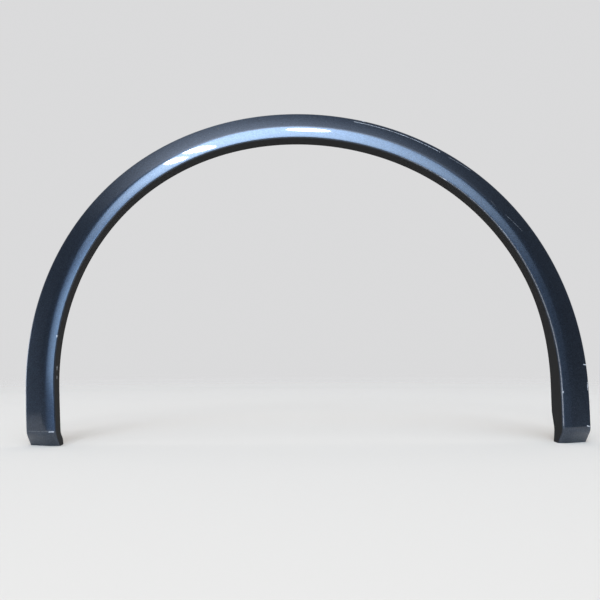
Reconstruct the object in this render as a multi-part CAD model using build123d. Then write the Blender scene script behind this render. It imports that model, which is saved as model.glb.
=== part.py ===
"""Wheel arch trim: one injection-moulded, painted arch with push-in clips along its back.

Millimetres, +Z up. X runs along the vehicle's side, -Y faces outwards, +Y goes in towards the body.
The trim stands on its two feet, with the origin on the floor under the middle of its box.
"""
from build123d import *
from math import asin, cos, degrees, radians, sin, sqrt, tan
import os

# Arch line: the front inner edge, a radius about the wheel centre with two small corrections
ARCH_RADIUS = 431.0
ARCH_SKEW = 7.7
ARCH_SQUARENESS = 2.7
WHEEL_CENTRE_HEIGHT = 96.0
LEG_STRAIGHTNESS = 0.75
LEAN = 3.0

# Section of the face, from the opening out to the edge that lies against the body
FACE_WIDTH_LEG = 52.3
FACE_WIDTH_CROWN = 45.3
CREASE_WIDTH = 20.0
CREASE_SETBACK = 2.0
EDGE_SETBACK = 19.0
FLANGE_DEPTH = 7.0
FLANGE_FLARE = 0.6
WALL = 2.8
LIP_BEVEL = 2.2
CREASE_RADIUS = 14.0

# Lip that turns back into the wheel housing, deeper on the leg at +X
LIP_DEPTH = 43.0
DEEP_LIP_DEPTH = 74.0
DEEP_LIP_START = 27.0
DEEP_LIP_FULL = -9.0
LIP_DRAFT = 1.0
LIP_DROOP = 5.4

# Feet: each leg folds back and in to a flat end, and its lower rear corner is cut at a slant
FOLD_HEIGHT = 26.0
FOLD_LENGTH = 10.0
FOOT_SWEEP_BACK = 18.0
FOOT_SWEEP_IN = 4.0
CORNER_CUT_HEIGHT = 50.0
CORNER_CUT_DEPTH = 24.0

# Clip towers: open-ended boxes on the back of the face, with a slot in the top for a clip
TOWER_COUNT = 9
TOWER_FIRST_ANGLE = 8.0
TOWER_LAST_ANGLE = 172.0
TOWER_STANDOFF = 2.8
TOWER_TOP = 24.0
TOWER_LENGTH = 26.0
TOWER_WIDTH = 16.0
TOWER_WALL = 2.0
SLOT_RADIUS = 4.0

# Gusset ribs that stiffen the corner between face and lip
RIBS_PER_BAY = 1
RIB_THICKNESS = 1.6
RIB_REACH = 24.0
RIB_FOOT = 9.0
RIB_HEIGHT = 30.0
RIB_TOP = 2.0

# Screw lugs behind the lip, one low on each leg
LUG_OFFSET = 10.0
LUG_HEIGHT = 70.0
LUG_RADIUS = 8.5
LUG_THICKNESS = 3.0
LUG_HOLE_RADIUS = 2.75

# Push-in clip: a head under the tower's top, a flange over it and a stem of two crossed, barbed fins
CLIP_CLEARANCE = 0.5
CLIP_HEAD_THICKNESS = 1.6
CLIP_FLANGE_RADIUS = 7.5
CLIP_FLANGE_SIDES = 8
CLIP_FLANGE_THICKNESS = 1.2
CLIP_FIN_THICKNESS = 1.8
CLIP_STEM_RADIUS = 2.6
CLIP_BARB_RADIUS = 4.2
CLIP_BARB_COUNT = 3
CLIP_BARB_PITCH = 3.6
CLIP_TIP_RADIUS = 1.2

# Spacing of the lofted sections round the arch, and how far the hollow runs out past the back
SECTION_STEP = 15.0
OPEN_BACK = 30.0

# Worked out from the sizes above
SLOPE = tan(radians(LEAN))
LIP_REAR = DEEP_LIP_DEPTH + SLOPE * CORNER_CUT_HEIGHT
MID_DEPTH = (LIP_REAR + SLOPE * FOLD_HEIGHT) / 2
END_ANGLE = degrees(asin(WHEEL_CENTRE_HEIGHT / ARCH_RADIUS)) + SECTION_STEP / 4
REACH = ARCH_RADIUS + FACE_WIDTH_LEG + DEEP_LIP_DEPTH
TOWER_OFFSET = CREASE_WIDTH + TOWER_STANDOFF + TOWER_WIDTH / 2
LUG_SPACING = 2 * (ARCH_RADIUS + LUG_OFFSET)


def smooth_step(t):
    """Ease from 0 to 1 as t goes from 0 to 1."""
    t = min(1.0, max(0.0, t))
    return t * t * (3 - 2 * t)


def opening_radius(angle):
    """Radius of the front inner edge; below the wheel centre the legs straighten."""
    a = radians(angle)
    below = radians(max(0.0, -angle, angle - 180.0))
    straighten = 1 + LEG_STRAIGHTNESS * (1 / cos(below) - 1)
    return (ARCH_RADIUS - ARCH_SKEW * sin(2 * a) - ARCH_SQUARENESS * cos(4 * a)) * straighten


def lip_depth(angle):
    """Depth of the lip, which grows down the leg at +X."""
    share = smooth_step((DEEP_LIP_START - angle) / (DEEP_LIP_START - DEEP_LIP_FULL))
    return LIP_DEPTH + (DEEP_LIP_DEPTH - LIP_DEPTH) * share


def skin_corners(angle):
    """Corners of the visible skin as (outward, back), from the lip's rear edge to the flange's."""
    rise = sin(radians(angle))
    depth = lip_depth(angle)
    lip_in = depth * (tan(radians(LIP_DRAFT)) + tan(radians(LIP_DROOP)) * rise)
    width = FACE_WIDTH_LEG - (FACE_WIDTH_LEG - FACE_WIDTH_CROWN) * rise
    corners = [
        (-lip_in, depth),
        (0, 0),
        (CREASE_WIDTH, CREASE_SETBACK),
        (width, EDGE_SETBACK),
        (width + FLANGE_FLARE, EDGE_SETBACK + FLANGE_DEPTH),
    ]
    return [Vector(u, v + SLOPE * u * rise) for u, v in corners]


def offset_corners(corners, distance):
    """The same open line moved to its left by a distance, each side staying parallel."""
    sides = [(b - a).normalized() for a, b in zip(corners, corners[1:])]
    normals = [Vector(-side.Y, side.X) for side in sides]
    moved = [corners[0] + normals[0] * distance]
    for corner, before, after in zip(corners[1:], normals, normals[1:]):
        moved.append(corner + (before + after) * (distance / (1 + before.dot(after))))
    return moved + [corners[-1] + normals[-1] * distance]


def place(angle, outward, back):
    """Point at an angle round the wheel, out from the opening line and back from the front."""
    a = radians(angle)
    radius = opening_radius(angle) + outward
    height = WHEEL_CENTRE_HEIGHT + radius * sin(a)
    return Vector(radius * cos(a), back + SLOPE * height - MID_DEPTH, height)


def section_plane(angle):
    """Radial plane: local x points outwards from the wheel, local y goes back."""
    a = radians(angle)
    return Plane(place(angle, 0, 0), x_dir=(cos(a), 0, sin(a)), z_dir=(-sin(a), 0, cos(a)))


def outer_section(angle):
    """Outside of the trim, with a soft bevel on its front inner edge and a line across its open back."""
    rear, front, *others = skin_corners(angle)
    bevel = [front + (end - front).normalized() * LIP_BEVEL for end in (rear, others[0])]
    radii = [0, LIP_BEVEL, LIP_BEVEL, CREASE_RADIUS, WALL, 0]
    outline = FilletPolyline(rear, *bevel, *others, radius=radii, close=True)
    return section_plane(angle) * make_face(outline)


def inner_section(angle):
    """Hollow behind the wall, run out past the open back."""
    corners = offset_corners(skin_corners(angle), WALL)
    corners[0] += (corners[0] - corners[1]).normalized() * OPEN_BACK
    corners[-1] += (corners[-1] - corners[-2]).normalized() * OPEN_BACK
    return section_plane(angle) * make_face(Polyline(*corners, close=True))


def arch_form(section):
    """Loft of one kind of section from foot to foot, cut off level at the folds."""
    count = round((180 + 2 * END_ANGLE) / SECTION_STEP)
    angles = [-END_ANGLE + (180 + 2 * END_ANGLE) * i / count for i in range(count + 1)]
    box_from_fold = Box(4 * REACH, 4 * REACH, 2 * REACH, align=(Align.CENTER, Align.CENTER, Align.MIN))
    return loft([section(angle) for angle in angles]) & (Pos(0, 0, FOLD_HEIGHT) * box_from_fold)


def fold_share(drop):
    """Share of the foot's sweep reached at a drop below the fold: a soft bend, then a straight slope."""
    straight = FOLD_HEIGHT - FOLD_LENGTH / 2
    if drop < FOLD_LENGTH:
        return drop * drop / (2 * FOLD_LENGTH) / straight
    return (drop - FOLD_LENGTH / 2) / straight


def with_feet(form, floor):
    """Carry each leg's cut end down to a floor height, swept back and in."""
    low = FOLD_HEIGHT - floor
    drops = [0, FOLD_LENGTH / 3, FOLD_LENGTH * 2 / 3, FOLD_LENGTH, (FOLD_LENGTH + low) / 2, low]
    ends = form.faces().group_by(Axis.Z)[0]
    for end in ends:
        inward = -FOOT_SWEEP_IN if end.center().X > 0 else FOOT_SWEEP_IN
        moves = [Pos(inward * fold_share(d), FOOT_SWEEP_BACK * fold_share(d), -d) for d in drops]
        form += loft([move * end for move in moves])
    return form


def tower_plane(angle):
    """Plane on a tower's top: local x runs along the arch, local z points back."""
    a = radians(angle)
    return Plane(place(angle, TOWER_OFFSET, TOWER_TOP), x_dir=(-sin(a), 0, cos(a)), z_dir=(0, 1, 0))


def clip_tower(angle):
    """Box open at one end, with a slot in its top that a clip's neck slides into."""
    down = (Align.CENTER, Align.CENTER, Align.MAX)
    along = (Align.MIN, Align.CENTER, Align.MAX)
    body = Box(TOWER_LENGTH, TOWER_WIDTH, TOWER_TOP, align=down)
    cavity = Box(TOWER_LENGTH, TOWER_WIDTH - 2 * TOWER_WALL, TOWER_TOP, align=down)
    cavity = Pos(TOWER_WALL, 0, -TOWER_WALL) * cavity
    slot = Box(TOWER_LENGTH, 2 * SLOT_RADIUS, TOWER_WALL, align=along)
    slot += Cylinder(SLOT_RADIUS, TOWER_WALL, align=down)
    return tower_plane(angle) * (body - cavity - slot)


def gusset_rib(angle):
    """Thin plate across the corner behind the face and the lip."""
    lip_rear = skin_corners(angle)[0]
    lip = lip_rear * (RIB_HEIGHT / lip_rear.Y)
    outline = Polyline(
        (0, 0),
        (RIB_REACH, 0),
        (RIB_REACH, RIB_FOOT),
        (lip.X + WALL + RIB_TOP, RIB_HEIGHT),
        lip,
        close=True,
    )
    return extrude(section_plane(angle) * make_face(outline), amount=RIB_THICKNESS / 2, both=True)


def screw_lug(side):
    """Flat lug behind the lip, square to the vehicle's side, for a screw from within the housing."""
    tongue = Rectangle(LUG_SPACING / 2, 2 * LUG_RADIUS, align=(Align.MAX, Align.CENTER))
    outline = tongue + Circle(LUG_RADIUS) - Circle(LUG_HOLE_RADIUS)
    back = TOWER_TOP + SLOPE * LUG_HEIGHT - MID_DEPTH
    plane = Plane((side * LUG_SPACING / 2, back, LUG_HEIGHT), x_dir=(side, 0, 0), z_dir=(0, 1, 0))
    return extrude(plane * outline, amount=-LUG_THICKNESS)


def corner_cut():
    """Wedge behind the feet that slants off the lip's lower rear corner."""
    start = DEEP_LIP_DEPTH - CORNER_CUT_DEPTH - MID_DEPTH
    rear = LIP_REAR - MID_DEPTH
    outline = Polyline(
        (start, 0),
        (rear, CORNER_CUT_HEIGHT),
        (rear + CORNER_CUT_DEPTH, CORNER_CUT_HEIGHT),
        (rear + CORNER_CUT_DEPTH, 0),
        close=True,
    )
    return extrude(Plane.YZ * make_face(outline), amount=REACH, both=True)


def clip_fin():
    """One barbed fin of a clip's stem, in the XZ plane, on top of the flange."""
    side = [(CLIP_STEM_RADIUS, CLIP_FLANGE_THICKNESS)]
    for barb in range(CLIP_BARB_COUNT):
        start = CLIP_FLANGE_THICKNESS + (barb + 0.5) * CLIP_BARB_PITCH
        side.append((CLIP_STEM_RADIUS, start))
        side.append((CLIP_BARB_RADIUS, start))
    side.append((CLIP_TIP_RADIUS, CLIP_FLANGE_THICKNESS + (CLIP_BARB_COUNT + 0.5) * CLIP_BARB_PITCH))
    outline = Polyline(*side, *[(-x, z) for x, z in reversed(side)], close=True)
    return extrude(Plane.XZ * make_face(outline), amount=CLIP_FIN_THICKNESS / 2, both=True)


def retaining_clip():
    """One push-in clip about the Z axis, with the tower's top at Z = 0."""
    head_width = TOWER_WIDTH - 2 * TOWER_WALL - 2 * CLIP_CLEARANCE
    neck_width = (SLOT_RADIUS - CLIP_CLEARANCE) * sqrt(2)
    down = (Align.CENTER, Align.CENTER, Align.MAX)
    clip = Pos(0, 0, -TOWER_WALL) * Box(head_width, head_width, CLIP_HEAD_THICKNESS, align=down)
    clip += Box(neck_width, neck_width, TOWER_WALL, align=down)
    clip += extrude(RegularPolygon(CLIP_FLANGE_RADIUS, CLIP_FLANGE_SIDES), amount=CLIP_FLANGE_THICKNESS)
    return clip + clip_fin() + Rot(0, 0, 90) * clip_fin()


# Towers evenly round the arch, with ribs evenly in the bays between them
tower_pitch = (TOWER_LAST_ANGLE - TOWER_FIRST_ANGLE) / (TOWER_COUNT - 1)
tower_angles = [TOWER_FIRST_ANGLE + tower_pitch * i for i in range(TOWER_COUNT)]
rib_pitch = tower_pitch / (RIBS_PER_BAY + 1)
rib_angles = [start + rib_pitch * (i + 1) for start in tower_angles[:-1] for i in range(RIBS_PER_BAY)]
details = [clip_tower(angle) for angle in tower_angles]
details += [gusset_rib(angle) for angle in rib_angles]
details += [screw_lug(side) for side in (-1, 1)]

# The moulding is its outside less the hollow, and the hollow leaves the details standing
outside = with_feet(arch_form(outer_section), 0)
hollow = with_feet(arch_form(inner_section), WALL) - details
arch_trim = outside - hollow - corner_cut()

clip = retaining_clip()
retaining_clips = Compound([tower_plane(angle) * clip for angle in tower_angles])

os.makedirs("parts", exist_ok=True)
export_step(arch_trim, "parts/arch_trim.step")
export_step(retaining_clips, "parts/retaining_clips.step")
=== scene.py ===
"""Looks of the wheel arch trim: a painted, moulded arch with clips on its unpainted back."""
from math import asin, atan2, cos, degrees, pi, radians, sin, tan

import bmesh
import bpy
from mathutils import Matrix, Quaternion, Vector


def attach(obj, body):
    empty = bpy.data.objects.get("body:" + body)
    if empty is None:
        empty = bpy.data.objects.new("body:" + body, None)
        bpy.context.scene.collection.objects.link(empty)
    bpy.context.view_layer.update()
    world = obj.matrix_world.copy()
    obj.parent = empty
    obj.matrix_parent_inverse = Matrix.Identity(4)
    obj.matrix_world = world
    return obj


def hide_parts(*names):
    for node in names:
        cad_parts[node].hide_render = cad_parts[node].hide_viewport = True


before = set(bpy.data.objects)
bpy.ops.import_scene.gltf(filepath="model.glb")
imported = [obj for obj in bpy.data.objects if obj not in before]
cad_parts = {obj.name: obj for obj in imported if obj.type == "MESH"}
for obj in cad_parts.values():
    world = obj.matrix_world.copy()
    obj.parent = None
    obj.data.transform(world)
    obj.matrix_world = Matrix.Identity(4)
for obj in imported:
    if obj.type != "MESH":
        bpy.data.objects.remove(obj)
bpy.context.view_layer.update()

MM = 0.001

# Arch line and lean of the moulding in millimetres and degrees; a leg starts a tolerance in radians past it
ARCH_RADIUS = 431.0
ARCH_SKEW = 7.7
ARCH_SQUARENESS = 2.7
WHEEL_CENTRE_HEIGHT = 96.0
LEG_STRAIGHTNESS = 0.75
LEG_TOLERANCE = 1e-6
LEAN_SLOPE = tan(radians(3.0))

# Section of the moulding
FACE_WIDTH_LEG = 52.3
FACE_WIDTH_CROWN = 45.3
CREASE_WIDTH = 20.0
CREASE_SETBACK = 2.0
EDGE_SETBACK = 19.0
FLANGE_DEPTH = 7.0
FLANGE_FLARE = 0.6
WALL = 2.8
CREASE_RADIUS_LEG = 26.0
CREASE_RADIUS_CROWN = 7.0
BAND_BOW_LEG = 0.45
BAND_BOW_CROWN = 0.3
OUTER_BOW = 0.4

# Facet on the front inner edge, and how many times wider it grows between two angles down the leg at +X
EDGE_ON_LIP = 2.4
EDGE_ON_FACE = 1.8
EDGE_RADIUS = 0.9
WIDE_EDGE = 1.8
WIDE_EDGE_START = 45.0
WIDE_EDGE_FULL = 8.0

# The lacquer ends where the facet meets the lip, between these shares of the facet's depth
LACQUER_START = 0.7
LACQUER_END = 1.1

# Lip that turns back into the wheel housing, deeper on the leg at +X
LIP_DEPTH = 43.0
DEEP_LIP_DEPTH = 74.0
DEEP_LIP_START = 27.0
DEEP_LIP_FULL = -9.0
LIP_DRAFT = tan(radians(1.0))
LIP_DROOP = tan(radians(5.4))

# Feet
FOLD_HEIGHT = 26.0
FOLD_LENGTH = 10.0
FOOT_SWEEP_BACK = 18.0
FOOT_SWEEP_IN = 4.0
CORNER_CUT_HEIGHT = 50.0
CORNER_CUT_DEPTH = 24.0
LIP_REAR = DEEP_LIP_DEPTH + LEAN_SLOPE * CORNER_CUT_HEIGHT
MID_DEPTH = (LIP_REAR + LEAN_SLOPE * FOLD_HEIGHT) / 2

# Clip towers, ribs and lugs on the back
TOWER_COUNT = 9
TOWER_FIRST_ANGLE = 8.0
TOWER_LAST_ANGLE = 172.0
TOWER_STANDOFF = 2.8
TOWER_TOP = 24.0
TOWER_LENGTH = 26.0
TOWER_WIDTH = 16.0
TOWER_WALL = 2.0
TOWER_OFFSET = CREASE_WIDTH + TOWER_STANDOFF + TOWER_WIDTH / 2
SLOT_RADIUS = 4.0
RIB_THICKNESS = 1.6
RIB_REACH = 24.0
RIB_FOOT = 9.0
RIB_HEIGHT = 30.0
RIB_TOP = 2.0
TOWER_SINK = 0.4
LUG_OFFSET = 10.0
LUG_SPACING = 2 * (ARCH_RADIUS + LUG_OFFSET)
LUG_HEIGHT = 70.0
LUG_RADIUS = 8.5
LUG_THICKNESS = 3.0
LUG_HOLE_RADIUS = 2.75
# Side of each lug, and how far its root reaches from the hole into the lip
LUG_ROOTS = ((1, 11.4), (-1, 13.2))

# Push-in clips
CLIP_CLEARANCE = 0.5
CLIP_HEAD_THICKNESS = 1.6
CLIP_FLANGE_RADIUS = 7.5
CLIP_FLANGE_THICKNESS = 1.2
CLIP_FIN_THICKNESS = 1.8
CLIP_STEM_RADIUS = 2.6
CLIP_BARB_RADIUS = 4.2
CLIP_BARB_COUNT = 3
CLIP_BARB_PITCH = 3.6
CLIP_TIP_RADIUS = 1.2
CLIP_OVERLAP = 0.3

# Small moulded radius of the details, the least angle in degrees of an edge that has one, and their fineness
MOULDED_EDGE = 0.25
MOULDED_ANGLE = 40.0
MOULDED_STEPS = 2
ROUND_SIDES = 32
# Slack for the points that count as half of a circle, as a share of its radius
HALF_CIRCLE_SLACK = 0.001

# Fineness of the moulding's mesh: rows round the arch, down a leg and down a foot, then steps along each
# straight stretch of the section and round its corners
ARCH_ROWS = 300
LEG_ROWS = 24
FOOT_ROWS = 14
OUTSIDE_STEPS = [14, 1, 8, 10, 3]
INSIDE_STEPS = [8, 3, 6, 2]
CORNER_STEPS = 6
# Least angle in degrees of an edge that stays sharp, and the share of inside points that makes a face bare
SHARP_ANGLE = 32.0
BARE_FROM = 0.4

# Patterns of the materials, in millimetres
FLAKE_SIZE = 1.1
SPECK_SPACING = 7.0
PEEL_SIZE = 5.0
PAINT_RELIEF = 0.2
MARK_GRAIN = 4.0
PLASTIC_GRAIN = 1.5
PLASTIC_RELIEF = 0.1
HAZE_SIZE = 60.0
NYLON_CLOUD = 6.0
NYLON_SCATTER = (2.0, 2.0, 1.5)

# Strengths of those patterns: roughness of satin and of lacquered paint, share of metal in the paint, reach
# and core of a dust speck as shares of their spacing, and the noise levels between which the marks of wear
# and of painted glints, and the haze, grow
SATIN_ROUGHNESS = 0.55
PAINT_ROUGHNESS = 0.29
METAL_SHARE = 0.85
SPECK_REACH = 0.10
SPECK_CORE = 0.05
SPECK_STRENGTH = 0.25
MARK_NOISE = (0.36, 0.52)
LEAST_MARK = 0.25
HAZE_NOISE = (0.45, 0.75)
HAZE_STRENGTH = 0.5

# Camera of the photograph: metres, degrees, and a focal length in pixels of the 600 pixel frame
FRAME_PIXELS = 600
CAMERA_PLACE = Vector((-0.0638, -2.0 - MID_DEPTH * MM, 0.1954))
CAMERA_YAW = 1.40
CAMERA_PITCH = 1.43
CAMERA_ROLL = -0.19
CAMERA_FOCAL_PIXELS = 1185
SENSOR_WIDTH = 36.0

# Wear and painted light on the paint: where each mark starts and ends, as degrees round the wheel and
# millimetres out from the front inner edge (negative down the lip), its width in millimetres and how pale it
# is. The scratches and the chip above the outer edge's line are wear; the other marks are painted glints,
# highlights and reflections. The core of a mark is the share of its half width that is evenly pale
MARK_CORE = 0.4
WEAR_AND_GLINT_MARKS = [
    # The first two marks are a painted reflection of a strip lamp on the rounded outer edge, drawn as a pale
    # line
    ("painted reflection along the outer edge", 80.0, 40.5, 60.5, 41.0, 1.5, 0.6),
    ("end of the painted reflection", 58.5, 41.0, 53.0, 43.0, 1.1, 0.35),
    ("chip above the painted reflection", 78.3, 45.0, 77.7, 45.3, 1.6, 0.8),
    ("scratch", 41.0, 24.5, 36.0, 30.0, 1.1, 0.35),
    ("fainter scratch", 45.5, 23.0, 43.5, 21.0, 0.8, 0.2),
    # Painted glints on the rounded front inner edge, drawn as pale rubs and a pale chip
    ("painted glint along the inner edge", 68.0, 1.3, 36.0, 1.6, 1.5, 0.45),
    ("painted glint down the +X inner edge", 40.0, 1.2, -8.5, 0.2, 3.8, 0.32),
    ("painted glint on the shoulder's inner edge", 57.9, 1.0, 56.2, 1.2, 2.6, 1.0),
    # Painted glints of lamps on the rounded outer edge of the +X leg, drawn as pale chips and a graze
    ("upper painted glint on the +X outer edge", 4.6, 46.5, 4.5, 50.5, 2.2, 1.0),
    ("painted glint patch on the +X outer edge", 0.9, 50.4, -0.7, 50.2, 1.5, 1.0),
    ("lower painted glint on the +X outer edge", -8.0, 46.5, -8.1, 51.0, 2.2, 1.0),
    # Painted glints on the front inner edge of each leg, drawn as pale nicks
    ("painted glint low on the +X inner edge", -1.0, 3.2, -1.2, 3.2, 3.0, 1.0),
    ("painted glint on the -X inner edge", 168.0, 2.2, 168.2, 2.2, 3.0, 1.0),
    # Painted reflections of lamps on the lip, drawn as two pale spots
    ("spot on the lip", 175.0, -19.0, 175.6, -19.0, 5.0, 1.0),
    ("smaller spot on the lip", 177.2, -21.0, 177.6, -21.0, 4.2, 0.9),
    # Painted highlights on the rounded fold of the -X foot, drawn as a pale dash and a faint line
    ("painted highlight on the fold of the foot", 189.35, 4.0, 189.2, 12.0, 2.4, 0.9),
    ("faint painted highlight along the fold", 189.1, 14.0, 188.5, 49.0, 0.9, 0.2),
]

# Studio: each glow's strength, its colour and its edges as degrees from dark to bright. Sideways counts to
# the right of the camera's back, upwards from the horizon, beyond from the arch's plane to its far side
ROOM_STRENGTH = 0.06
BACKDROP_STRENGTH = 0.78
BACKDROP_COLOUR = "#F4F4F5"
GLOWS = [
    ("window", 11.2, "#CAE2FA", [
        ("sideways", -28, -9), ("sideways", 34, -6), ("upwards", 11, 24), ("upwards", 58, 44)]),
    ("low window", 5.3, "#B2D4F8", [
        ("sideways", -30, -16), ("sideways", 8, -6), ("upwards", 1.5, 4.5), ("upwards", 16, 9)]),
    ("side window", 9.0, "#EEF5FF", [
        ("sideways", -82, -88), ("sideways", -112, -104), ("upwards", -7, -2), ("upwards", 14, 8)]),
    ("ceiling", 4.4, "#EEF5FF", [
        ("sideways", -100, -10), ("sideways", 80, -5), ("upwards", 33, 62), ("upwards", 90, 58)]),
    ("backdrop", BACKDROP_STRENGTH, BACKDROP_COLOUR, [("beyond", -6, 14)]),
]
# Lamps: place in metres, width and height in metres, roll in degrees, power in watts. All aim at one point
LAMP_TARGET = Vector((0, 0, 0.3))
LAMPS = [
    ("overhead_softbox", (-0.6, 0.7, 2.6), 1.6, 1.2, 0, 5),
    ("left_panel", (-1.05, -4.0, 2.42), 0.86, 0.15, -46, 11),
    ("second_left_panel", (-0.86, -4.0, 2.58), 0.98, 0.20, -49, 16),
    ("middle_panel", (0.19, -4.0, 2.88), 0.42, 0.42, 0, 15),
]
# Floor in metres: half its width, the distances between which it fades out and how far it is below the feet
FLOOR_HALF = 4.0
FLOOR_FADE_START = 1.2
FLOOR_FADE_END = 3.2
FLOOR_DROP = 0.0002


def linear(hex_colour):
    """Linear RGBA of an sRGB hex colour."""
    channels = [int(hex_colour[i:i + 2], 16) / 255 for i in (1, 3, 5)]
    return [c / 12.92 if c <= 0.04045 else ((c + 0.055) / 1.055) ** 2.4 for c in channels] + [1.0]


def add(tree, kind, inputs=None, **settings):
    """Add a node; inputs maps a socket's name or number to a value or to a socket to link from."""
    node = tree.nodes.new(kind)
    for name, value in settings.items():
        setattr(node, name, value)
    for key, value in (inputs or {}).items():
        if isinstance(value, bpy.types.NodeSocket):
            tree.links.new(value, node.inputs[key])
        else:
            node.inputs[key].default_value = value
    return node


def new_object(name, mesh):
    """Object in the scene that shows a mesh."""
    made = bpy.data.objects.new(name, mesh)
    bpy.context.scene.collection.objects.link(made)
    return made


def applied(obj):
    """Turn an object's live modifiers into its plain mesh."""
    shown = obj.evaluated_get(bpy.context.evaluated_depsgraph_get())
    mesh = bpy.data.meshes.new_from_object(shown)
    old = obj.data
    obj.modifiers.clear()
    obj.data = mesh
    mesh.name = obj.name
    bpy.data.meshes.remove(old)
    return obj


def remove(*objects):
    """Delete helper objects and their meshes."""
    for obj in objects:
        mesh = obj.data
        bpy.data.objects.remove(obj)
        bpy.data.meshes.remove(mesh)


# Materials

def new_material(name):
    """Material with an empty tree and its output."""
    material = bpy.data.materials.new(name)
    material.use_nodes = True
    material.node_tree.nodes.clear()
    return material, material.node_tree


def wear_and_glint_mask(tree, along, across):
    """Socket that is 1 on the paint's scratches and chips and on its painted glints, highlights and
    reflections, broken up along their length.
    """
    on_skin = add(tree, "ShaderNodeCombineXYZ", {"X": along, "Y": across}).outputs[0]
    wear_and_glints = None
    for _, start_angle, start_out, end_angle, end_out, width, pale in WEAR_AND_GLINT_MARKS:
        start = Vector((radians(start_angle) * ARCH_RADIUS, start_out)) * MM
        end = Vector((radians(end_angle) * ARCH_RADIUS, end_out)) * MM
        middle, run = (start + end) / 2, end - start
        half_length, half_width = (run.length + width * MM) / 2, width * MM / 2
        local = add(tree, "ShaderNodeMapping", {
            "Vector": on_skin, "Location": (*middle, 0), "Rotation": (0, 0, atan2(run.y, run.x)),
        }, vector_type="TEXTURE")
        size = add(tree, "ShaderNodeVectorMath", {0: local.outputs[0]}, operation="ABSOLUTE")
        parts = add(tree, "ShaderNodeSeparateXYZ", {0: size.outputs[0]}).outputs
        within = add(tree, "ShaderNodeMapRange", {
            0: parts["X"], 1: half_length, 2: half_length - half_width,
        })
        beside = add(tree, "ShaderNodeMapRange", {
            0: parts["Y"], 1: half_width, 2: half_width * MARK_CORE, 4: pale,
        })
        mark = add(tree, "ShaderNodeMath", {
            0: within.outputs[0], 1: beside.outputs[0],
        }, operation="MULTIPLY")
        if wear_and_glints:
            mark = add(tree, "ShaderNodeMath", {0: wear_and_glints, 1: mark.outputs[0]}, operation="MAXIMUM")
        wear_and_glints = mark.outputs[0]
    rough = add(tree, "ShaderNodeTexNoise", {
        "Vector": on_skin, "Scale": 1 / (MARK_GRAIN * MM), "Detail": 3.0,
    })
    broken = add(tree, "ShaderNodeMapRange", {
        0: rough.outputs["Fac"], 1: MARK_NOISE[0], 2: MARK_NOISE[1], 3: LEAST_MARK,
    })
    return add(tree, "ShaderNodeMath", {0: wear_and_glints, 1: broken.outputs[0]}, operation="MULTIPLY").outputs[0]


def metallic_paint():
    """Dark blue-grey metallic paint under clear lacquer: nearly black in shade, pale blue in window light.

    The lacquer ends at the lip, where the coat is a dull dark satin."""
    material, tree = new_material("clear_coated_metallic_paint")
    place = add(tree, "ShaderNodeTexCoord").outputs["Object"]
    along, across, lacquer = (
        add(tree, "ShaderNodeAttribute", attribute_name=name).outputs["Fac"]
        for name in ("along", "across", "lacquer")
    )
    wear_and_glints = wear_and_glint_mask(tree, along, across)
    unmarked = add(tree, "ShaderNodeMath", {0: 1.0, 1: wear_and_glints}, operation="SUBTRACT").outputs[0]
    glossy = add(tree, "ShaderNodeMath", {0: lacquer, 1: unmarked}, operation="MULTIPLY").outputs[0]

    # Aluminium flakes are some 0.03 mm across; drawn larger so that their sparkle shows
    flakes = add(tree, "ShaderNodeTexVoronoi", {"Vector": place, "Scale": 1 / (FLAKE_SIZE * MM)})
    tilt = add(tree, "ShaderNodeBump", {
        "Height": flakes.outputs["Color"], "Strength": 0.06, "Distance": PAINT_RELIEF * MM,
    })
    flake_tone = add(tree, "ShaderNodeSeparateColor", {0: flakes.outputs["Color"]}).outputs[0]
    tone = add(tree, "ShaderNodeMix", {
        0: flake_tone, 6: linear("#333B47"), 7: linear("#424C5B"),
    }, data_type="RGBA").outputs[2]

    # Fine dust as sparse specks about 1 mm across, then the lip's satin, then the pale marks of wear and the
    # painted glints, highlights and reflections
    specks = add(tree, "ShaderNodeTexVoronoi", {"Vector": place, "Scale": 1 / (SPECK_SPACING * MM)})
    speck = add(tree, "ShaderNodeMapRange", {
        0: specks.outputs["Distance"], 1: SPECK_REACH, 2: SPECK_CORE, 4: SPECK_STRENGTH,
    })
    dusty = add(tree, "ShaderNodeMix", {
        0: speck.outputs[0], 6: tone, 7: linear("#8F949B"),
    }, data_type="RGBA")
    coat = add(tree, "ShaderNodeMix", {
        0: lacquer, 6: linear("#0F1012"), 7: dusty.outputs[2],
    }, data_type="RGBA")
    # Pale where the paint has wear, and where glints, highlights and reflections are painted on its edges,
    # fold and lip
    colour = add(tree, "ShaderNodeMix", {
        0: wear_and_glints, 6: coat.outputs[2], 7: linear("#C9CBD0"),
    }, data_type="RGBA")

    # Orange peel of the lacquer
    peel = add(tree, "ShaderNodeTexNoise", {"Vector": place, "Scale": 1 / (PEEL_SIZE * MM), "Detail": 1.0})
    skin = add(tree, "ShaderNodeBump", {
        "Height": peel.outputs["Fac"], "Strength": 0.02, "Distance": PAINT_RELIEF * MM,
    })
    metal = add(tree, "ShaderNodeMath", {0: glossy, 1: METAL_SHARE}, operation="MULTIPLY")
    roughness = add(tree, "ShaderNodeMapRange", {0: glossy, 3: SATIN_ROUGHNESS, 4: PAINT_ROUGHNESS})
    shader = add(tree, "ShaderNodeBsdfPrincipled", {
        "Base Color": colour.outputs[2],
        "Metallic": metal.outputs[0],
        "Roughness": roughness.outputs[0],
        "Specular IOR Level": 0.03,
        "Normal": tilt.outputs["Normal"],
        "Coat Weight": glossy,
        "Coat Roughness": 0.03,
        "Coat Normal": skin.outputs["Normal"],
    })
    add(tree, "ShaderNodeOutputMaterial", {"Surface": shader.outputs[0]})
    return material


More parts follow.
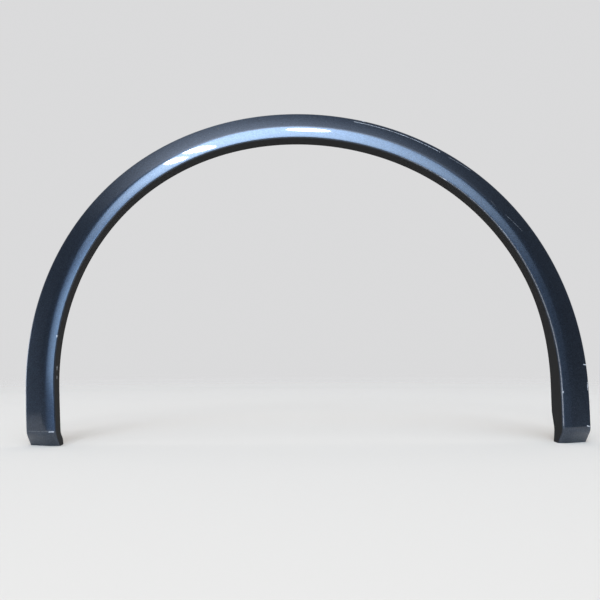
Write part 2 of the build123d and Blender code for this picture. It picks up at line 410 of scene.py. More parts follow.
def moulded_plastic():
    """Black PP and EPDM blend as moulded: a dull, faintly grained black with a haze of stray paint."""
    material, tree = new_material("moulded_black_plastic")
    place = add(tree, "ShaderNodeTexCoord").outputs["Object"]
    grain = add(tree, "ShaderNodeTexNoise", {
        "Vector": place, "Scale": 1 / (PLASTIC_GRAIN * MM), "Detail": 3.0,
    })
    bump = add(tree, "ShaderNodeBump", {
        "Height": grain.outputs["Fac"], "Strength": 0.15, "Distance": PLASTIC_RELIEF * MM,
    })
    cloud = add(tree, "ShaderNodeTexNoise", {"Vector": place, "Scale": 1 / (HAZE_SIZE * MM), "Detail": 4.0})
    haze = add(tree, "ShaderNodeMapRange", {
        0: cloud.outputs["Fac"], 1: HAZE_NOISE[0], 2: HAZE_NOISE[1], 4: HAZE_STRENGTH,
    })
    tone = add(tree, "ShaderNodeMix", {
        0: haze.outputs[0], 6: linear("#2D2F32"), 7: linear("#41464E"),
    }, data_type="RGBA")
    shader = add(tree, "ShaderNodeBsdfPrincipled", {
        "Base Color": tone.outputs[2],
        "Roughness": 0.48,
        "Normal": bump.outputs["Normal"],
    })
    add(tree, "ShaderNodeOutputMaterial", {"Surface": shader.outputs[0]})
    return material


def natural_nylon():
    """Natural nylon as moulded: a milky off-white with a soft waxy shine."""
    material, tree = new_material("natural_nylon")
    place = add(tree, "ShaderNodeTexCoord").outputs["Object"]
    cloud = add(tree, "ShaderNodeTexNoise", {"Vector": place, "Scale": 1 / (NYLON_CLOUD * MM), "Detail": 3.0})
    tone = add(tree, "ShaderNodeMix", {
        0: cloud.outputs["Fac"], 6: linear("#DCD9CC"), 7: linear("#C9C4B2"),
    }, data_type="RGBA")
    shader = add(tree, "ShaderNodeBsdfPrincipled", {
        "Base Color": tone.outputs[2],
        "Roughness": 0.42,
        "Subsurface Weight": 0.15,
        "Subsurface Radius": [depth * MM for depth in NYLON_SCATTER],
    })
    add(tree, "ShaderNodeOutputMaterial", {"Surface": shader.outputs[0]})
    return material


# The moulding: its section in a flat strip, which the arch rule then bends round the wheel

def smooth_step(t):
    """Ease from 0 to 1 as t goes from 0 to 1."""
    t = min(1.0, max(0.0, t))
    return t * t * (3 - 2 * t)


def fold_share(drop):
    """Share of the foot's sweep at a drop below the fold: a soft bend, then a straight slope."""
    straight = FOLD_HEIGHT - FOLD_LENGTH / 2
    bend = drop * drop / (2 * FOLD_LENGTH) if drop < FOLD_LENGTH else drop - FOLD_LENGTH / 2
    return bend / straight


def skin_corners(angle, deepest):
    """Corners of the visible skin as (outward, back), with the lip cut off at a deepest depth."""
    rise = sin(radians(angle))
    share = smooth_step((DEEP_LIP_START - angle) / (DEEP_LIP_START - DEEP_LIP_FULL))
    depth = min(deepest, LIP_DEPTH + (DEEP_LIP_DEPTH - LIP_DEPTH) * share)
    width = FACE_WIDTH_LEG - (FACE_WIDTH_LEG - FACE_WIDTH_CROWN) * rise
    return [Vector(corner) for corner in (
        (-depth * (LIP_DRAFT + LIP_DROOP * rise), depth),
        (0, 0),
        (CREASE_WIDTH, CREASE_SETBACK),
        (width, EDGE_SETBACK),
        (width + FLANGE_FLARE, EDGE_SETBACK + FLANGE_DEPTH),
    )]


def offset_line(corners, distance):
    """The same open line moved to its left by a distance, its ends still on the line between the old ends."""
    sides = [(b - a).normalized() for a, b in zip(corners, corners[1:])]
    normals = [Vector((-side.y, side.x)) for side in sides]
    moved = []
    for corner, before, after in zip(corners[1:], normals, normals[1:]):
        moved.append(corner + (before + after) * (distance / (1 + before.dot(after))))
    closing = corners[-1] - corners[0]
    across = Vector((-closing.y, closing.x))
    ends = []
    for i in (0, -1):
        step = normals[i] * distance
        ends.append(corners[i] + step - sides[i] * (step.dot(across) / sides[i].dot(across)))
    return [ends[0], *moved, ends[1]]


def rounded_line(corners, radii, steps, arc_steps):
    """Points along a line with rounded corners, each straight stretch cut into a number of steps."""
    line = [corners[0]]
    stretches = []
    for before, corner, after, radius in zip(corners, corners[1:], corners[2:], radii):
        back = (before - corner).normalized()
        ahead = (after - corner).normalized()
        half = back.angle(ahead) / 2
        centre = corner + (back + ahead).normalized() * (radius / sin(half))
        start = corner + back * (radius / tan(half))
        end = corner + ahead * (radius / tan(half))
        arc = []
        for i in range(arc_steps + 1):
            spoke = (start - centre).lerp(end - centre, i / arc_steps)
            arc.append(centre + spoke.normalized() * radius)
        stretches.append(arc if radius else [corner])
    stretches.append([corners[-1]])
    for stretch, count in zip(stretches, steps):
        line += [line[-1].lerp(stretch[0], i / count) for i in range(1, count)]
        line += stretch
    return line


def edge_facet(angle):
    """Width of the front inner edge's facet, down the lip and across the face."""
    share = smooth_step((WIDE_EDGE_START - angle) / (WIDE_EDGE_START - WIDE_EDGE_FULL))
    wider = 1 + (WIDE_EDGE - 1) * share
    return EDGE_ON_LIP * wider, EDGE_ON_FACE * wider


def section(angle, deepest):
    """The wall's outline as (outward, back) points: outside from lip to flange, inside back to the lip."""
    rear, front, *others = skin_corners(angle, deepest)
    on_lip, on_face = edge_facet(angle)
    edge = [
        front + (rear - front).normalized() * on_lip,
        front + (others[0] - front).normalized() * on_face,
    ]
    high = smooth_step(sin(radians(angle)) ** 2)
    crease = CREASE_RADIUS_LEG + (CREASE_RADIUS_CROWN - CREASE_RADIUS_LEG) * high
    radii = [EDGE_RADIUS, EDGE_RADIUS, crease, WALL]
    outside = rounded_line([rear, *edge, *others], radii, OUTSIDE_STEPS, CORNER_STEPS)
    band_bow = BAND_BOW_LEG + (BAND_BOW_CROWN - BAND_BOW_LEG) * high
    width = others[1].x
    for point in outside:
        for start, end, bow in ((0, CREASE_WIDTH, band_bow), (CREASE_WIDTH, width, OUTER_BOW)):
            share = min(1.0, max(0.0, (point.x - start) / (end - start)))
            point.y -= bow * 4 * share * (1 - share)
    inside = rounded_line(offset_line([rear, front, *others], WALL), [0, 0, 0], INSIDE_STEPS, 1)
    return outside, inside[::-1]


def deepest_lip(level, drop):
    """How deep the lip may be at a height, where the foot's lower rear corner is cut at a slant."""
    height = level - drop
    if height >= CORNER_CUT_HEIGHT:
        return DEEP_LIP_DEPTH
    cut_start = DEEP_LIP_DEPTH - CORNER_CUT_DEPTH
    cut = cut_start + (LIP_REAR - cut_start) * height / CORNER_CUT_HEIGHT
    return cut - LEAN_SLOPE * level - FOOT_SWEEP_BACK * fold_share(drop)


def strip_rows():
    """Rows of the flat strip from the +X foot to the -X foot, as (angle, level, drop)."""
    foot = [(FOLD_HEIGHT, FOLD_HEIGHT * (FOOT_ROWS - i) / FOOT_ROWS) for i in range(FOOT_ROWS)]
    leg_height = WHEEL_CENTRE_HEIGHT - FOLD_HEIGHT
    foot += [(FOLD_HEIGHT + leg_height * i / LEG_ROWS, 0) for i in range(LEG_ROWS)]
    low = []
    for level, drop in foot:
        below = degrees(asin((WHEEL_CENTRE_HEIGHT - level) / ARCH_RADIUS))
        low.append((-below, level, drop))
    arch = [(180 * i / ARCH_ROWS, WHEEL_CENTRE_HEIGHT, 0) for i in range(ARCH_ROWS + 1)]
    return low + arch + [(180 - angle, level, drop) for angle, level, drop in reversed(low)]


def flat_strip():
    """The moulding's skin as a mesh whose points only carry their place in the section and round the arch."""
    mesh = bpy.data.meshes.new("moulding")
    values = {name: [] for name in (
        "angle", "outward", "back", "level", "drop", "fold", "inside", "along", "across", "lacquer")}
    rows = strip_rows()
    for angle, level, drop in rows:
        outside, inside = section(angle, deepest_lip(level, drop))
        inner_drop = drop * (FOLD_HEIGHT - WALL) / FOLD_HEIGHT
        edge_depth, _ = edge_facet(angle)
        for points, side_drop, within in ((outside, drop, 0), (inside, inner_drop, 1)):
            for point in points:
                turn = angle
                if not 0 <= angle <= 180:
                    below = degrees(asin((WHEEL_CENTRE_HEIGHT - level) / (ARCH_RADIUS + point.x)))
                    turn = -below if angle < 0 else 180 + below
                values["angle"].append(radians(turn))
                values["outward"].append(point.x * MM)
                values["back"].append(point.y * MM)
                values["level"].append(level * MM)
                values["drop"].append(side_drop * MM)
                values["fold"].append(fold_share(side_drop))
                values["inside"].append(within)
                on_lip = point.x < point.y and point.x < edge_depth
                depth_share = point.y / edge_depth
                lip_share = smooth_step((depth_share - LACQUER_START) / (LACQUER_END - LACQUER_START))
                lower = drop if angle > 90 else -drop
                values["along"].append((radians(turn) * ARCH_RADIUS + lower) * MM)
                values["across"].append((-point.y if on_lip else point.x) * MM)
                values["lacquer"].append(1 - lip_share if on_lip else 1)
    outer, ring = len(outside), len(outside) + len(inside)
    last = (len(rows) - 1) * ring
    faces = []
    for row in range(len(rows) - 1):
        for i in range(ring):
            a, b = row * ring + i, row * ring + (i + 1) % ring
            faces.append((a, b, b + ring, a + ring))
    for base, turned in ((0, False), (last, True)):
        plate = [
            list(range(base + outer - 1, base - 1, -1)),
            list(range(base + ring - 1, base + outer - 1, -1)),
            [base, base + ring - 1, base + outer, base + outer - 1],
        ]
        faces += [face[::-1] if turned else face for face in plate]
    mesh.from_pydata([(0, 0, 0)] * len(values["angle"]), [], faces)
    for name, numbers in values.items():
        mesh.attributes.new(name, "FLOAT", "POINT").data.foreach_set("value", numbers)
    return mesh


def arch_rule():
    """Node group that places a point round the wheel from its angle and its place in the section."""
    group = bpy.data.node_groups.new("arch_rule", "GeometryNodeTree")
    sizes = {
        "Angle": 0, "Outward": 0, "Back": 0, "Level": 0, "Drop": 0, "Fold": 0,
        "Arch Radius": ARCH_RADIUS * MM, "Skew": ARCH_SKEW * MM, "Squareness": ARCH_SQUARENESS * MM,
        "Wheel Centre Height": WHEEL_CENTRE_HEIGHT * MM, "Leg Straightness": LEG_STRAIGHTNESS,
        "Lean": LEAN_SLOPE, "Middle Depth": MID_DEPTH * MM,
        "Sweep In": FOOT_SWEEP_IN * MM, "Sweep Back": FOOT_SWEEP_BACK * MM,
    }
    for name, size in sizes.items():
        group.interface.new_socket(name, in_out="INPUT", socket_type="NodeSocketFloat").default_value = size
    group.interface.new_socket("Place", in_out="OUTPUT", socket_type="NodeSocketVector")
    given = add(group, "NodeGroupInput").outputs

    # One step a row: its result, its operation and what it works on
    steps = [
        ("Before First", "MULTIPLY", "Angle", -1.0),
        ("Past Last", "SUBTRACT", "Angle", pi),
        ("Past", "MAXIMUM", "Before First", "Past Last"),
        ("Below", "MAXIMUM", "Past", 0.0),
        ("Cosine Below", "COSINE", "Below"),
        ("Ratio", "DIVIDE", 1.0, "Cosine Below"),
        ("Longer", "SUBTRACT", "Ratio", 1.0),
        ("Straighten", "MULTIPLY_ADD", "Leg Straightness", "Longer", 1.0),
        ("Double Angle", "MULTIPLY", "Angle", 2.0),
        ("Skew Wave", "SINE", "Double Angle"),
        ("Skewed", "MULTIPLY", "Skew", "Skew Wave"),
        ("Fourfold Angle", "MULTIPLY", "Angle", 4.0),
        ("Square Wave", "COSINE", "Fourfold Angle"),
        ("Squared", "MULTIPLY", "Squareness", "Square Wave"),
        ("Skewed Line", "SUBTRACT", "Arch Radius", "Skewed"),
        ("Line", "SUBTRACT", "Skewed Line", "Squared"),
        ("Radius", "MULTIPLY_ADD", "Line", "Straighten", "Outward"),
        ("Sine", "SINE", "Angle"),
        ("Arch Height", "MULTIPLY_ADD", "Radius", "Sine", "Wheel Centre Height"),
        ("On Leg", "GREATER_THAN", "Below", LEG_TOLERANCE),
        ("To Level", "SUBTRACT", "Level", "Arch Height"),
        ("Height", "MULTIPLY_ADD", "On Leg", "To Level", "Arch Height"),
        ("Cosine", "COSINE", "Angle"),
        ("Along", "MULTIPLY", "Radius", "Cosine"),
        ("Side", "SIGN", "Along"),
        ("Swept In", "MULTIPLY", "Sweep In", "Fold"),
        ("To Side", "MULTIPLY", "Side", "Swept In"),
        ("Leaning", "MULTIPLY_ADD", "Height", "Lean", "Back"),
        ("Depth", "SUBTRACT", "Leaning", "Middle Depth"),
        ("X", "SUBTRACT", "Along", "To Side"),
        ("Y", "MULTIPLY_ADD", "Sweep Back", "Fold", "Depth"),
        ("Z", "SUBTRACT", "Height", "Drop"),
    ]
    known = {name: given[name] for name in sizes}
    for result, operation, *terms in steps:
        inputs = {i: known.get(term, term) for i, term in enumerate(terms)}
        known[result] = add(group, "ShaderNodeMath", inputs, operation=operation).outputs[0]
    place = add(group, "ShaderNodeCombineXYZ", {axis: known[axis] for axis in "XYZ"})
    add(group, "NodeGroupOutput", {"Place": place.outputs[0]})
    return group


def new_tree(name, inputs):
    """Geometry tree with a geometry input and output and named inputs; gives the tree and its input node."""
    tree = bpy.data.node_groups.new(name, "GeometryNodeTree")
    tree.interface.new_socket("Geometry", in_out="INPUT", socket_type="NodeSocketGeometry")
    for label, kind in inputs.items():
        tree.interface.new_socket(label, in_out="INPUT", socket_type=kind)
    tree.interface.new_socket("Geometry", in_out="OUTPUT", socket_type="NodeSocketGeometry")
    return tree, add(tree, "NodeGroupInput").outputs


def run_tree(obj, tree, values):
    """Run a geometry tree on an object with its named inputs, and keep the plain mesh."""
    modifier = obj.modifiers.new(tree.name, "NODES")
    modifier.node_group = tree
    for item in tree.interface.items_tree:
        if item.in_out == "INPUT" and item.name in values:
            modifier[item.identifier] = values[item.name]
    return applied(obj)


def bend_tree(rule):
    """Tree that bends a flat strip round the wheel; its outside is painted and its inside is bare."""
    tree, given = new_tree("bend_round_wheel", {
        "Paint": "NodeSocketMaterial", "Plastic": "NodeSocketMaterial",
    })
    read = {}
    for name in ("angle", "outward", "back", "level", "drop", "fold", "inside"):
        read[name] = add(tree, "GeometryNodeInputNamedAttribute", {"Name": name}).outputs["Attribute"]
    placed = add(tree, "GeometryNodeGroup", node_tree=rule)
    for name in ("angle", "outward", "back", "level", "drop", "fold"):
        tree.links.new(read[name], placed.inputs[name.title()])
    bent = add(tree, "GeometryNodeSetPosition", {
        "Geometry": given["Geometry"], "Position": placed.outputs["Place"],
    })
    smooth = add(tree, "GeometryNodeSetShadeSmooth", {"Geometry": bent.outputs[0]})
    whole = add(tree, "GeometryNodeRealizeInstances", {"Geometry": smooth.outputs[0]})
    painted = add(tree, "GeometryNodeSetMaterial", {
        "Geometry": whole.outputs[0], "Material": given["Paint"],
    })
    back = add(tree, "FunctionNodeCompare", {0: read["inside"], 1: BARE_FROM}, operation="GREATER_THAN")
    bare = add(tree, "GeometryNodeSetMaterial", {
        "Geometry": painted.outputs[0], "Selection": back.outputs[0], "Material": given["Plastic"],
    })
    add(tree, "NodeGroupOutput", {"Geometry": bare.outputs[0]})
    return tree


def row_tree(rule):
    """Tree that sets a row of equal pieces round the arch, each with its own Z towards the vehicle."""
    tree, given = new_tree("row_round_arch", {
        "Piece": "NodeSocketObject", "Count": "NodeSocketInt",
        "First Angle": "NodeSocketFloat", "Last Angle": "NodeSocketFloat",
        "Outward": "NodeSocketFloat", "Back": "NodeSocketFloat", "Material": "NodeSocketMaterial",
    })
    points = add(tree, "GeometryNodePoints", {"Count": given["Count"]})
    index = add(tree, "GeometryNodeInputIndex").outputs[0]
    gaps = add(tree, "ShaderNodeMath", {0: given["Count"], 1: 1.0}, operation="SUBTRACT").outputs[0]
    share = add(tree, "ShaderNodeMath", {0: index, 1: gaps}, operation="DIVIDE").outputs[0]
    angle = add(tree, "ShaderNodeMix", {
        0: share, 2: given["First Angle"], 3: given["Last Angle"],
    }).outputs[0]
    placed = add(tree, "GeometryNodeGroup", node_tree=rule)
    for name, socket in (("Angle", angle), ("Outward", given["Outward"]), ("Back", given["Back"])):
        tree.links.new(socket, placed.inputs[name])
    set_out = add(tree, "GeometryNodeSetPosition", {
        "Geometry": points.outputs[0], "Position": placed.outputs["Place"],
    })
    sine = add(tree, "ShaderNodeMath", {0: angle}, operation="SINE").outputs[0]
    back_along = add(tree, "ShaderNodeMath", {0: sine, 1: -1.0}, operation="MULTIPLY").outputs[0]
    cosine = add(tree, "ShaderNodeMath", {0: angle}, operation="COSINE").outputs[0]
    along = add(tree, "ShaderNodeCombineXYZ", {"X": back_along, "Z": cosine}).outputs[0]
    turn = add(tree, "FunctionNodeAxesToRotation", {
        "Primary Axis": (0, 1, 0), "Secondary Axis": along,
    }, primary_axis="Z", secondary_axis="X")
    piece = add(tree, "GeometryNodeObjectInfo", {"Object": given["Piece"]})
    row = add(tree, "GeometryNodeInstanceOnPoints", {
        "Points": set_out.outputs[0], "Instance": piece.outputs["Geometry"], "Rotation": turn.outputs[0],
    })
    whole = add(tree, "GeometryNodeRealizeInstances", {"Geometry": row.outputs[0]})
    finish = add(tree, "GeometryNodeSetMaterial", {
        "Geometry": whole.outputs[0], "Material": given["Material"],
    })
    add(tree, "NodeGroupOutput", {"Geometry": finish.outputs[0]})
    return tree


def outward_faces(mesh):
    """Turn every face of a closed mesh outwards."""
    shape = bmesh.new()
    shape.from_mesh(mesh)
    bmesh.ops.recalc_face_normals(shape, faces=shape.faces)
    shape.to_mesh(mesh)
    shape.free()


def bent_moulding(tree, paint, plastic):
    """The arch itself: the flat strip bent round the wheel."""
    moulding = new_object("painted_moulding", flat_strip())
    run_tree(moulding, tree, {"Paint": paint, "Plastic": plastic})
    outward_faces(moulding.data)
    moulding.data.set_sharp_from_angle(angle=radians(SHARP_ANGLE))
    return moulding


# Details of the back

def gusset_ribs(tree, plastic):
    """Thin plates across the corner behind face and lip, one between each two towers."""
    pitch = (TOWER_LAST_ANGLE - TOWER_FIRST_ANGLE) / (TOWER_COUNT - 1)
    sunk = WALL / 2
    values = {name: [] for name in ("angle", "outward", "back", "level", "drop", "fold", "inside")}
    faces = []
    for bay in range(TOWER_COUNT - 1):
        middle = TOWER_FIRST_ANGLE + pitch * (bay + 0.5)
        lip = -RIB_HEIGHT * (LIP_DRAFT + LIP_DROOP * sin(radians(middle)))
        outline = [
            (sunk, sunk), (CREASE_WIDTH, CREASE_SETBACK + sunk), (RIB_REACH, CREASE_SETBACK + 3 * sunk),
            (RIB_REACH, RIB_FOOT), (lip + WALL + RIB_TOP, RIB_HEIGHT), (lip + sunk, RIB_HEIGHT),
        ]
        base, count = len(values["angle"]), len(outline)
        for side in (-1, 1):
            turn = radians(middle) + side * RIB_THICKNESS / 2 / ARCH_RADIUS
            for outward, back in outline:
                values["angle"].append(turn)
                values["outward"].append(outward * MM)
                values["back"].append(back * MM)
                values["inside"].append(1)
                for name in ("level", "drop", "fold"):
                    values[name].append(0)
        faces += [list(range(base, base + count)), list(range(base + count, base + 2 * count))]
        for i in range(count):
            a, b = base + i, base + (i + 1) % count
            faces.append((a, b, b + count, a + count))
    mesh = bpy.data.meshes.new("gusset_ribs")
    mesh.from_pydata([(0, 0, 0)] * len(values["angle"]), [], faces)
    for name, numbers in values.items():
        mesh.attributes.new(name, "FLOAT", "POINT").data.foreach_set("value", numbers)
    ribs = new_object("gusset_ribs", mesh)
    run_tree(ribs, tree, {"Paint": plastic, "Plastic": plastic})
    outward_faces(ribs.data)
    ribs.data.set_sharp_from_angle(angle=radians(SHARP_ANGLE))
    return ribs


def circle(radius):
    """Outline of a circle about the origin."""
    turns = [2 * pi * i / ROUND_SIDES for i in range(ROUND_SIDES)]
    return [(radius * cos(turn), radius * sin(turn)) for turn in turns]


def rectangle(left, right, half_width):
    """Outline of a rectangle that is even about the X axis."""
    return [(left, -half_width), (right, -half_width), (right, half_width), (left, half_width)]


def prism(name, outline, low, high):
    """Closed prism on an outline in millimetres, from a low to a high Z."""
    count = len(outline)
    mesh = bpy.data.meshes.new(name)
    points = [(x * MM, y * MM, z * MM) for z in (low, high) for x, y in outline]
    faces = [list(range(count)), list(range(count, 2 * count))]
    faces += [(i, (i + 1) % count, count + (i + 1) % count, count + i) for i in range(count)]
    mesh.from_pydata(points, [], faces)
    outward_faces(mesh)
    return new_object(name, mesh)


def carve(obj, *cutters):
    """Cut other shapes out of a shape."""
    for cutter in cutters:
        cut = obj.modifiers.new("cut", "BOOLEAN")
        cut.operation, cut.solver, cut.object = "DIFFERENCE", "EXACT", cutter
    applied(obj)
    remove(*cutters)


def soften(obj):
    """Small moulded radius on every sharp edge."""
    bevel = obj.modifiers.new("soften", "BEVEL")
    bevel.width, bevel.segments = MOULDED_EDGE * MM, MOULDED_STEPS
    bevel.limit_method, bevel.angle_limit = "ANGLE", radians(MOULDED_ANGLE)
    applied(obj)
    obj.data.shade_smooth()
    obj.data.set_sharp_from_angle(angle=radians(MOULDED_ANGLE))
    return obj


def joined(name, pieces):
    """One object from several, which are used up."""
    shape = bmesh.new()
    for piece in pieces:
        shape.from_mesh(piece.data)
    mesh = bpy.data.meshes.new(name)
    shape.to_mesh(mesh)
    shape.free()
    remove(*pieces)
    return new_object(name, mesh)


def clip_tower():
    """Box open at one end, with a slot in its top for a clip's neck; its foot sinks into the face."""
    half, inside = TOWER_WIDTH / 2, TOWER_WIDTH / 2 - TOWER_WALL
    tower = prism("tower", rectangle(-TOWER_LENGTH / 2, TOWER_LENGTH / 2, half), -TOWER_TOP, 0)
    slope = (EDGE_SETBACK - CREASE_SETBACK) / (FACE_WIDTH_CROWN - CREASE_WIDTH)
    for vertex in tower.data.vertices:
        if vertex.co.z < 0:
            out = TOWER_OFFSET - CREASE_WIDTH + vertex.co.y / MM
            vertex.co.z = (CREASE_SETBACK + slope * out + TOWER_SINK - TOWER_TOP) * MM
    cavity = rectangle(TOWER_WALL - TOWER_LENGTH / 2, TOWER_LENGTH, inside)
    slot = [(x, y) for x, y in circle(SLOT_RADIUS) if x <= HALF_CIRCLE_SLACK * SLOT_RADIUS]
    slot += [(TOWER_LENGTH, -SLOT_RADIUS), (TOWER_LENGTH, SLOT_RADIUS)]
    carve(
        tower,
        prism("cavity", cavity, -2 * TOWER_TOP, -TOWER_WALL),
        prism("slot", slot, -TOWER_TOP, TOWER_WALL),
    )
    return soften(tower)


def push_clip():
    """Push-in clip on the Z axis: square head, round neck, round flange and two crossed barbed fins."""
    half = TOWER_WIDTH / 2 - TOWER_WALL - CLIP_CLEARANCE
    head = rectangle(-half, half, half)
    neck = circle(SLOT_RADIUS - CLIP_CLEARANCE)
    pieces = [
        prism("head", head, -TOWER_WALL - CLIP_HEAD_THICKNESS, -TOWER_WALL),
        prism("neck", neck, -TOWER_WALL - CLIP_OVERLAP, CLIP_OVERLAP),
        prism("flange", circle(CLIP_FLANGE_RADIUS), 0, CLIP_FLANGE_THICKNESS),
    ]
    side = [(CLIP_STEM_RADIUS, CLIP_FLANGE_THICKNESS - CLIP_OVERLAP)]
    for barb in range(CLIP_BARB_COUNT):
        start = CLIP_FLANGE_THICKNESS + (barb + 0.5) * CLIP_BARB_PITCH
        side += [(CLIP_STEM_RADIUS, start), (CLIP_BARB_RADIUS, start)]
    side.append((CLIP_TIP_RADIUS, CLIP_FLANGE_THICKNESS + (CLIP_BARB_COUNT + 0.5) * CLIP_BARB_PITCH))
    outline = side + [(-x, z) for x, z in reversed(side)]
    upright = Matrix.Rotation(pi / 2, 4, "X")
    for turn in (0, pi / 2):
        fin = prism("fin", outline, -CLIP_FIN_THICKNESS / 2, CLIP_FIN_THICKNESS / 2)
        fin.data.transform(Matrix.Rotation(turn, 4, "Z") @ upright)
        pieces.append(fin)
    return joined("push_clip", [soften(piece) for piece in pieces])


def row_round_arch(name, tree, piece, material):
    """Row of one piece round the arch on the clip towers' places."""
    row = new_object(name, bpy.data.meshes.new(name))
    run_tree(row, tree, {
        "Piece": piece, "Count": TOWER_COUNT, "First Angle": radians(TOWER_FIRST_ANGLE),
        "Last Angle": radians(TOWER_LAST_ANGLE), "Outward": TOWER_OFFSET * MM, "Back": TOWER_TOP * MM,
        "Material": material,
    })
    remove(piece)
    return row


def screw_lugs(plastic):
    """Flat lugs behind the lip, low on each leg, with a hole for a screw from within the housing."""
    lugs = []
    top = TOWER_TOP + LEAN_SLOPE * LUG_HEIGHT - MID_DEPTH
    for side, root in LUG_ROOTS:
        tip = [(x, y) for x, y in circle(LUG_RADIUS) if x >= -HALF_CIRCLE_SLACK * LUG_RADIUS]
        tip.sort(key=lambda point: point[1])
        outline = [(-root, -LUG_RADIUS), *tip, (-root, LUG_RADIUS)]
        lug = prism("lug", outline, -LUG_THICKNESS, 0)
        carve(lug, prism("hole", circle(LUG_HOLE_RADIUS), -2 * LUG_THICKNESS, LUG_THICKNESS))
        soften(lug)
        place = Vector((side * LUG_SPACING / 2, top, LUG_HEIGHT)) * MM
        turn = Matrix(((side, 0, 0), (0, 0, 1), (0, -side, 0))).to_4x4()
        lug.data.transform(Matrix.Translation(place) @ turn)
        lugs.append(lug)
    both = joined("screw_lugs", lugs)
    outward_faces(both.data)
    both.data.materials.append(plastic)
    return both


# Camera, floor and light

def photo_camera():
    """Camera at the photograph's place, looking a little up."""
    data = bpy.data.cameras.new("camera")
    data.sensor_width = SENSOR_WIDTH
    data.lens = CAMERA_FOCAL_PIXELS / FRAME_PIXELS * SENSOR_WIDTH
    yaw, pitch, roll = (radians(turn) for turn in (CAMERA_YAW, CAMERA_PITCH, CAMERA_ROLL))
    ahead = Vector((sin(yaw) * cos(pitch), cos(yaw) * cos(pitch), sin(pitch)))
    right = Vector((cos(yaw), -sin(yaw), 0))
    up = right.cross(ahead)
    right, up = right * cos(roll) + up * sin(roll), up * cos(roll) - right * sin(roll)
    camera = bpy.data.objects.new("camera", data)
    bpy.context.scene.collection.objects.link(camera)
    turn = Matrix((right, up, -ahead)).transposed().to_4x4()
    camera.matrix_world = Matrix.Translation(CAMERA_PLACE) @ turn
    bpy.context.scene.camera = camera


def studio_floor():
    """Plain pale floor that fades into the pale surround."""
    material, tree = new_material("pale_floor")
    place = add(tree, "ShaderNodeTexCoord").outputs["Object"]
    distance = add(tree, "ShaderNodeVectorMath", {0: place}, operation="LENGTH").outputs["Value"]
    fade = add(tree, "ShaderNodeMapRange", {
        0: distance, 1: FLOOR_FADE_START, 2: FLOOR_FADE_END,
    }, interpolation_type="SMOOTHSTEP")
    matt = add(tree, "ShaderNodeBsdfDiffuse", {"Color": linear("#D3CBC2")})
    clear = add(tree, "ShaderNodeBsdfTransparent")
    surface = add(tree, "ShaderNodeMixShader", {
        0: fade.outputs[0], 1: matt.outputs[0], 2: clear.outputs[0],
    })
    add(tree, "ShaderNodeOutputMaterial", {"Surface": surface.outputs[0]})
    mesh = bpy.data.meshes.new("floor")
    corners = [(x, y, 0) for x, y in rectangle(-FLOOR_HALF, FLOOR_HALF, FLOOR_HALF)]
    mesh.from_pydata(corners, [], [(0, 1, 2, 3)])
    mesh.materials.append(material)
    floor = new_object("floor", mesh)
    floor.location.z = -FLOOR_DROP


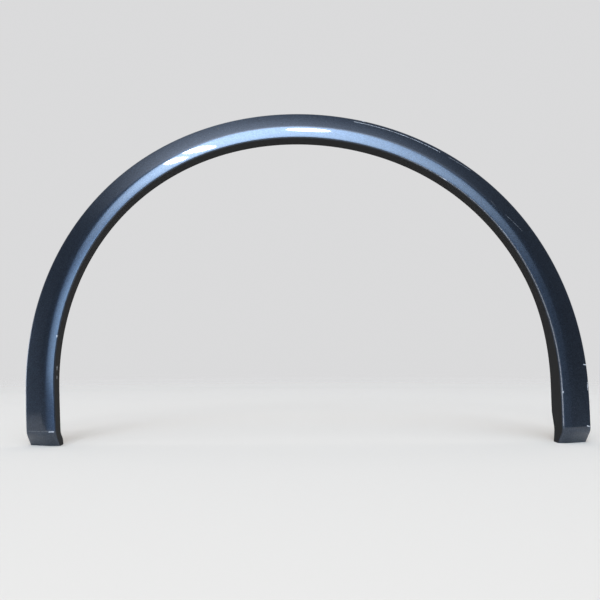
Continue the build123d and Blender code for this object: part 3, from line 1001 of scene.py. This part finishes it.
def studio_surround():
    """Dim room with bright windows behind the camera, a lit ceiling and a pale backdrop beyond the object."""
    world = bpy.data.worlds.new("studio")
    world.use_nodes = True
    tree = world.node_tree
    tree.nodes.clear()
    ahead = add(tree, "ShaderNodeTexCoord").outputs["Generated"]
    parts = add(tree, "ShaderNodeSeparateXYZ", {0: ahead}).outputs
    to_viewer = add(tree, "ShaderNodeMath", {0: parts["Y"], 1: -1.0}, operation="MULTIPLY").outputs[0]
    turns = {
        "sideways": add(tree, "ShaderNodeMath", {0: parts["X"], 1: to_viewer}, operation="ARCTAN2"),
        "upwards": add(tree, "ShaderNodeMath", {0: parts["Z"]}, operation="ARCSINE"),
        "beyond": add(tree, "ShaderNodeMath", {0: parts["Y"]}, operation="ARCSINE"),
    }
    room = [ROOM_STRENGTH] * 3
    for _, level, hex_colour, edges in GLOWS:
        for turn, dark, bright in edges:
            edge = add(tree, "ShaderNodeMapRange", {
                0: turns[turn].outputs[0], 1: radians(dark), 2: radians(bright),
            }, interpolation_type="SMOOTHSTEP")
            dimmed = add(tree, "ShaderNodeMath", {0: edge.outputs[0], 1: level}, operation="MULTIPLY")
            level = dimmed.outputs[0]
        glow = add(tree, "ShaderNodeVectorMath", {
            0: linear(hex_colour)[:3], "Scale": level,
        }, operation="SCALE")
        room = add(tree, "ShaderNodeVectorMath", {0: room, 1: glow.outputs[0]}, operation="ADD").outputs[0]
    seen = add(tree, "ShaderNodeLightPath").outputs["Is Camera Ray"]
    backdrop = [channel * BACKDROP_STRENGTH for channel in linear(BACKDROP_COLOUR)]
    shown = add(tree, "ShaderNodeMix", {0: seen, 6: room, 7: backdrop}, data_type="RGBA").outputs[2]
    surround = add(tree, "ShaderNodeBackground", {"Color": shown})
    add(tree, "ShaderNodeOutputWorld", {"Surface": surround.outputs[0]})
    bpy.context.scene.world = world


def studio_lamps():
    """Soft overhead lamp for the floor, and soft panels that the paint mirrors."""
    for name, place, width, height, roll, watts in LAMPS:
        data = bpy.data.lights.new(name, "AREA")
        data.shape = "ELLIPSE"
        data.size, data.size_y, data.energy = width, height, watts
        lamp = bpy.data.objects.new(name, data)
        bpy.context.scene.collection.objects.link(lamp)
        lamp.location = place
        aim = (LAMP_TARGET - Vector(place)).to_track_quat("-Z", "Y")
        lamp.rotation_euler = (aim @ Quaternion((0, 0, 1), radians(roll))).to_euler()
        lamp.visible_camera = False


paint = metallic_paint()
plastic = moulded_plastic()
nylon = natural_nylon()
rule = arch_rule()
bend = bend_tree(rule)
row = row_tree(rule)
moulding = bent_moulding(bend, paint, plastic)
ribs = gusset_ribs(bend, plastic)
towers = row_round_arch("clip_towers", row, clip_tower(), plastic)
lugs = screw_lugs(plastic)
clips = row_round_arch("push_clips", row, push_clip(), nylon)

for piece in (moulding, ribs, towers, lugs):
    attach(piece, "root")
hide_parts("arch_trim")
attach(clips, "root")
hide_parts("retaining_clips")

photo_camera()
studio_floor()
studio_surround()
studio_lamps()
bpy.context.scene.view_settings.view_transform = "Standard"
